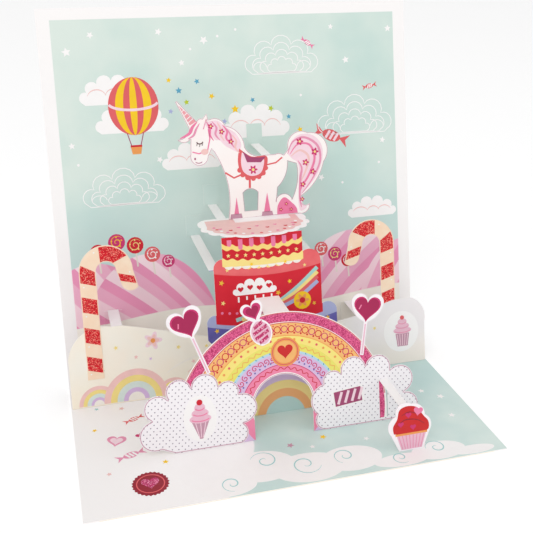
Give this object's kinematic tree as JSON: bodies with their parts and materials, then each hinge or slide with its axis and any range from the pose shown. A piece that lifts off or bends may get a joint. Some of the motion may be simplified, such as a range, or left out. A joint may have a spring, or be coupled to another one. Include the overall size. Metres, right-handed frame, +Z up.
{
  "type": "pop up card",
  "caption": "Square pop-up greeting card, stood open, with a unicorn on a tiered cake behind a rainbow arch, clouds, hearts, canes and a cupcake.",
  "frame": {"origin": "under the middle of the card's box, on the surface that it stands on", "axes": "+X to the right along the fold, +Y from the lower page's front edge to the leaning page, +Z up"},
  "size_m": [0.16, 0.1198, 0.1566],
  "materials": {
    "card_print": "satin",
    "hill_paper": "satin",
    "glitter_red": "glitter",
    "cake_paper": "satin",
    "frosting_paper": "satin",
    "unicorn_paper": "satin",
    "rainbow_paper": "satin",
    "cloud_paper": "embossed",
    "heart_paper": "foil",
    "candy_paper": "satin",
    "cupcake_paper": "satin"
  },
  "bodies": {
    "root": {"card": "card_print", "hill_step": "hill_paper", "left_cane": "glitter_red", "right_cane": "glitter_red", "cake": "cake_paper", "frosting_plate": "frosting_paper", "unicorn": "unicorn_paper", "rainbow_arch": "rainbow_paper", "left_heart": "heart_paper", "right_heart": "heart_paper", "wrapped_candy": "candy_paper", "left_cloud": "cloud_paper", "right_cloud": "cloud_paper", "front_cupcake": "cupcake_paper"}
  },
  "joints": []
}
